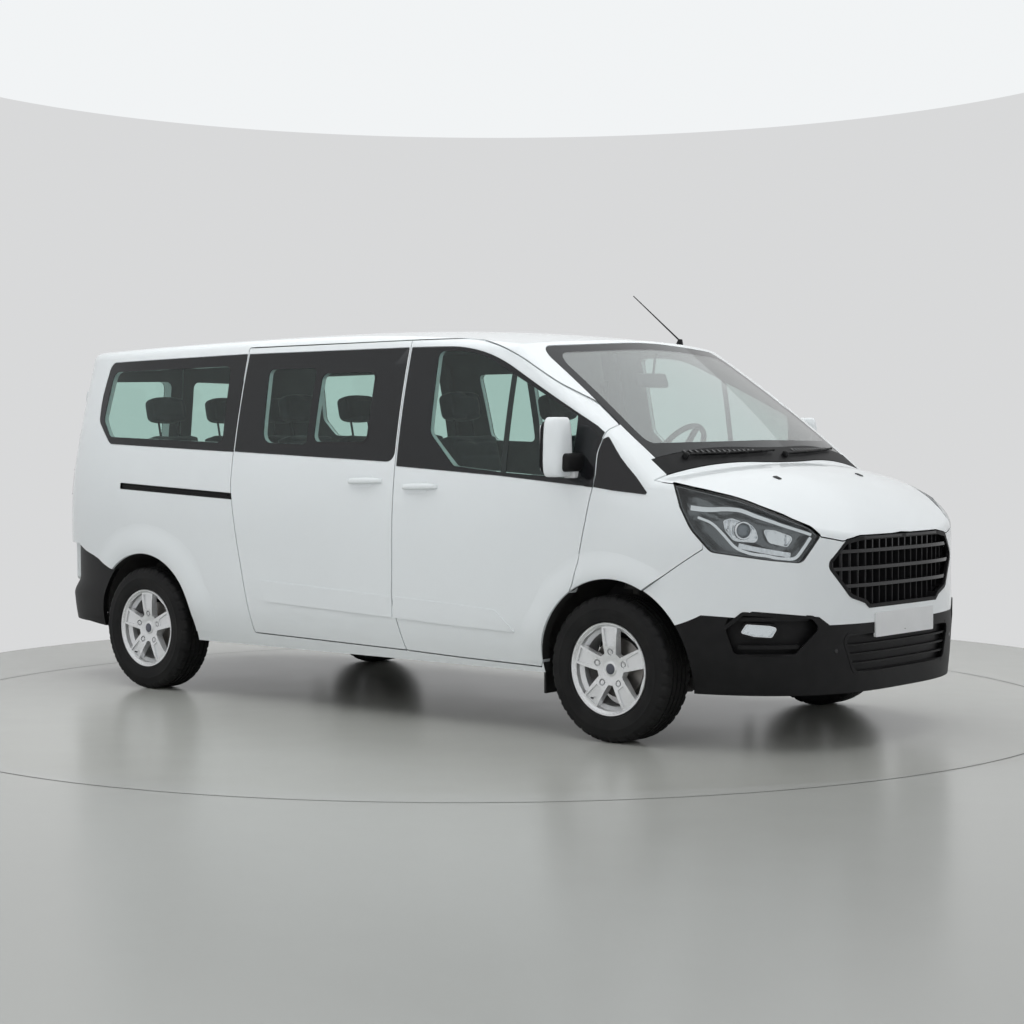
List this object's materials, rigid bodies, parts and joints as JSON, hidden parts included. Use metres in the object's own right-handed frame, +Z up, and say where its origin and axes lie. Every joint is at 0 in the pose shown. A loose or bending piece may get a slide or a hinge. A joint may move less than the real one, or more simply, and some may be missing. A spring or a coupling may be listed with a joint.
{
  "type": "minibus",
  "caption": "White long-wheelbase minibus with three seat rows, opening front doors, twin rear doors and bonnet, a fixed sliding door, and wheels that steer and spin.",
  "frame": {"origin": "on the road, under the middle of the vehicle's length and width", "axes": "+X forward, +Y to the vehicle's left, +Z up"},
  "size_m": [5.3312, 2.2886, 2.1702],
  "materials": {
    "body_paint": "gloss white paint",
    "tinted_glass": "clear, lightly green",
    "dark_plastic": "finely grained",
    "gloss_black": "gloss",
    "clear_lamp": "clear lens",
    "red_lamp": "gloss lens",
    "alloy": "silver lacquer",
    "tyre": "matte",
    "cast_metal": "black paint",
    "underbody": "matte underseal",
    "engine_metal": "as cast",
    "tank_plastic": "moulded",
    "exhaust_steel": "dull steel",
    "interior_plastic": "soft grain",
    "seat_fabric": "woven",
    "flap_rubber": "matte"
  },
  "bodies": {
    "root": {"side_panel_right": "body_paint", "side_panel_left": "body_paint", "sliding_door": "body_paint", "side_glass": "tinted_glass", "roof": "body_paint", "windscreen": "tinted_glass", "cowl": "dark_plastic", "wings": "body_paint", "headlamps": "clear_lamp", "bumper_skin": "body_paint", "bumper_lower": "dark_plastic", "grille": "gloss_black", "tail_lamps": "red_lamp", "rear_bumper": "dark_plastic", "front_crossmember": "cast_metal", "rear_axle": "cast_metal", "floor": "underbody", "inner_panels": "underbody", "engine": "engine_metal", "radiator": "engine_metal", "fuel_tank": "tank_plastic", "exhaust": "exhaust_steel", "dashboard": "interior_plastic", "steering_wheel": "interior_plastic", "front_seats": "seat_fabric", "rear_seats": "seat_fabric", "mud_flaps": "flap_rubber", "aerial": "dark_plastic"},
    "knuckle_right_body": {"knuckle_right": "cast_metal"},
    "knuckle_left_body": {"knuckle_left": "cast_metal"},
    "wheel_front_right": {"rim_front_right": "alloy", "tyre_front_right": "tyre"},
    "wheel_front_left": {"rim_front_left": "alloy", "tyre_front_left": "tyre"},
    "wheel_rear_right": {"rim_rear_right": "alloy", "tyre_rear_right": "tyre"},
    "wheel_rear_left": {"rim_rear_left": "alloy", "tyre_rear_left": "tyre"},
    "front_door_right_body": {"front_door_right": "body_paint", "front_door_glass_right": "tinted_glass", "mirror_right": "dark_plastic"},
    "front_door_left_body": {"front_door_left": "body_paint", "front_door_glass_left": "tinted_glass", "mirror_left": "dark_plastic"},
    "rear_door_right_body": {"rear_door_right": "body_paint", "rear_door_glass_right": "tinted_glass"},
    "rear_door_left_body": {"rear_door_left": "body_paint", "rear_door_glass_left": "tinted_glass"},
    "bonnet_body": {"bonnet": "body_paint"}
  },
  "joints": [
    {"name": "steer_right", "type": "hinge", "parent": "root", "child": "knuckle_right_body", "pos_m": [1.66, -0.735, 0.343], "axis": [0, 0, 1], "range_deg": [-33, 33]},
    {"name": "steer_left", "type": "hinge", "parent": "root", "child": "knuckle_left_body", "pos_m": [1.66, 0.735, 0.343], "axis": [0, 0, 1], "range_deg": [-33, 33]},
    {"name": "spin_front_right", "type": "hinge", "parent": "knuckle_right_body", "child": "wheel_front_right", "pos_m": [1.66, -0.868, 0.343], "axis": [0, 1, 0], "continuous": true},
    {"name": "spin_front_left", "type": "hinge", "parent": "knuckle_left_body", "child": "wheel_front_left", "pos_m": [1.66, 0.868, 0.343], "axis": [0, 1, 0], "continuous": true},
    {"name": "spin_rear_right", "type": "hinge", "parent": "root", "child": "wheel_rear_right", "pos_m": [-1.64, -0.878, 0.343], "axis": [0, 1, 0], "continuous": true},
    {"name": "spin_rear_left", "type": "hinge", "parent": "root", "child": "wheel_rear_left", "pos_m": [-1.64, 0.878, 0.343], "axis": [0, 1, 0], "continuous": true},
    {"name": "front_door_right_swing", "type": "hinge", "parent": "root", "child": "front_door_right_body", "pos_m": [1.6, -0.98, 0.7], "axis": [0, 0.0519, 0.9987], "range_deg": [0, 65]},
    {"name": "front_door_left_swing", "type": "hinge", "parent": "root", "child": "front_door_left_body", "pos_m": [1.6, 0.98, 0.7], "axis": [0, 0.0519, -0.9987], "range_deg": [0, 65]},
    {"name": "rear_door_right_swing", "type": "hinge", "parent": "root", "child": "rear_door_right_body", "pos_m": [-2.495, -0.83, 1.2], "axis": [0, 0, 1], "range_deg": [0, 180]},
    {"name": "rear_door_left_swing", "type": "hinge", "parent": "root", "child": "rear_door_left_body", "pos_m": [-2.495, 0.83, 1.2], "axis": [0, 0, -1], "range_deg": [0, 180]},
    {"name": "bonnet_lift", "type": "hinge", "parent": "root", "child": "bonnet_body", "pos_m": [1.88, 0, 1.29], "axis": [0, -1, 0], "range_deg": [0, 50]}
  ],
  "couplings": [
    {"joint": "steer_left", "follows": "steer_right", "ratio": 1}
  ]
}
